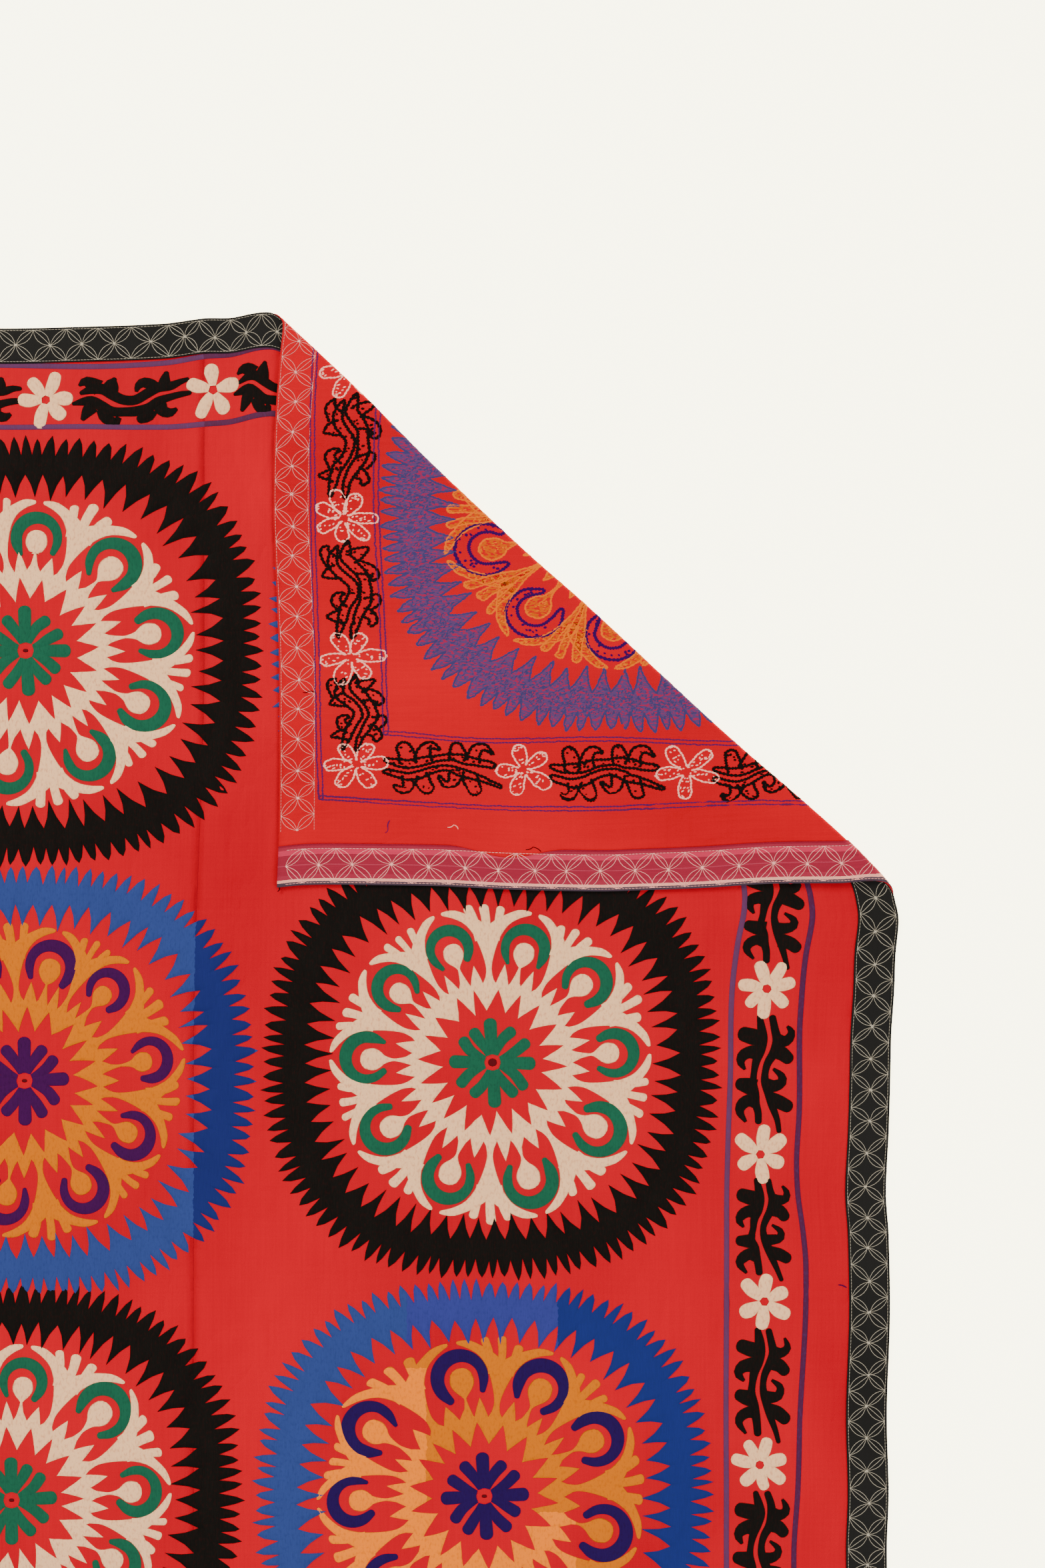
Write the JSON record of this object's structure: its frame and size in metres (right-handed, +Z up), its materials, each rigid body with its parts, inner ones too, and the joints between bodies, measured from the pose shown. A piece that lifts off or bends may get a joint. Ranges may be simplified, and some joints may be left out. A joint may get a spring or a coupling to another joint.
{
  "type": "suzani embroidered textile",
  "caption": "Large embroidered cotton cloth with round medallions, a floral border and stitched edging, lying flat with a corner folded over.",
  "frame": {"origin": "middle of the bounding box, on the surface that the cloth lies on", "axes": "+X to the right of the cloth as seen from above, +Y up the cloth, +Z up off the surface"},
  "size_m": [1.9662, 2.1726, 0.011],
  "materials": {
    "panel_cloth": "plain-woven cotton with hand embroidery",
    "edging_cloth": "plain-woven cotton with machine stitching",
    "facing_cloth": "striped cotton with machine stitching",
    "embroidery_thread": "laid and couched cotton and silk thread"
  },
  "bodies": {
    "root": {"panel_left": "panel_cloth", "panel_middle": "panel_cloth", "panel_right": "panel_cloth", "edging_left": "edging_cloth", "edging_right": "edging_cloth", "edging_top": "edging_cloth", "edging_bottom": "edging_cloth", "facing_right": "facing_cloth"}
  },
  "joints": []
}
